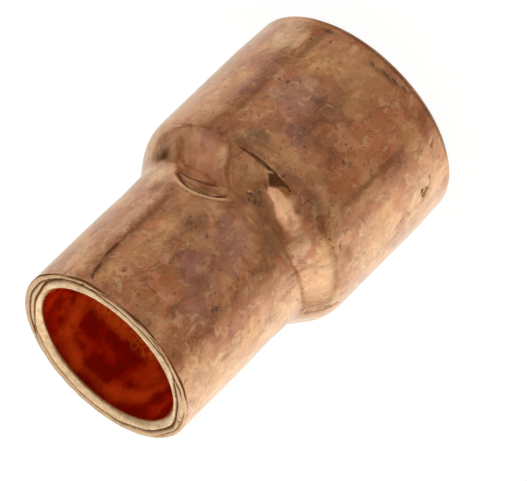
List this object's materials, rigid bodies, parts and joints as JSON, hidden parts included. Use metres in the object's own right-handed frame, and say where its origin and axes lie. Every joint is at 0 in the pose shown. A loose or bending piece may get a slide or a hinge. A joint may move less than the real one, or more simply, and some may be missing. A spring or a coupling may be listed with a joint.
{
  "type": "concentric reducer",
  "caption": "Copper pipe reducer: a wide and a narrow solder socket, coaxial, joined by a rounded swaged shoulder, with a clear waterway right through.",
  "frame": {"origin": "centre of the large end's flat face, on the common axis", "axes": "+Z along the common axis, from the large end towards the small end; X and Y are free, because the body is round"},
  "size_m": [0.0146, 0.0146, 0.0228],
  "materials": {
    "copper": "bare wrought copper, dulled by handling and oxide, satin; bright where the end was cut"
  },
  "bodies": {
    "root": {"reducer_body": "copper"}
  },
  "joints": []
}
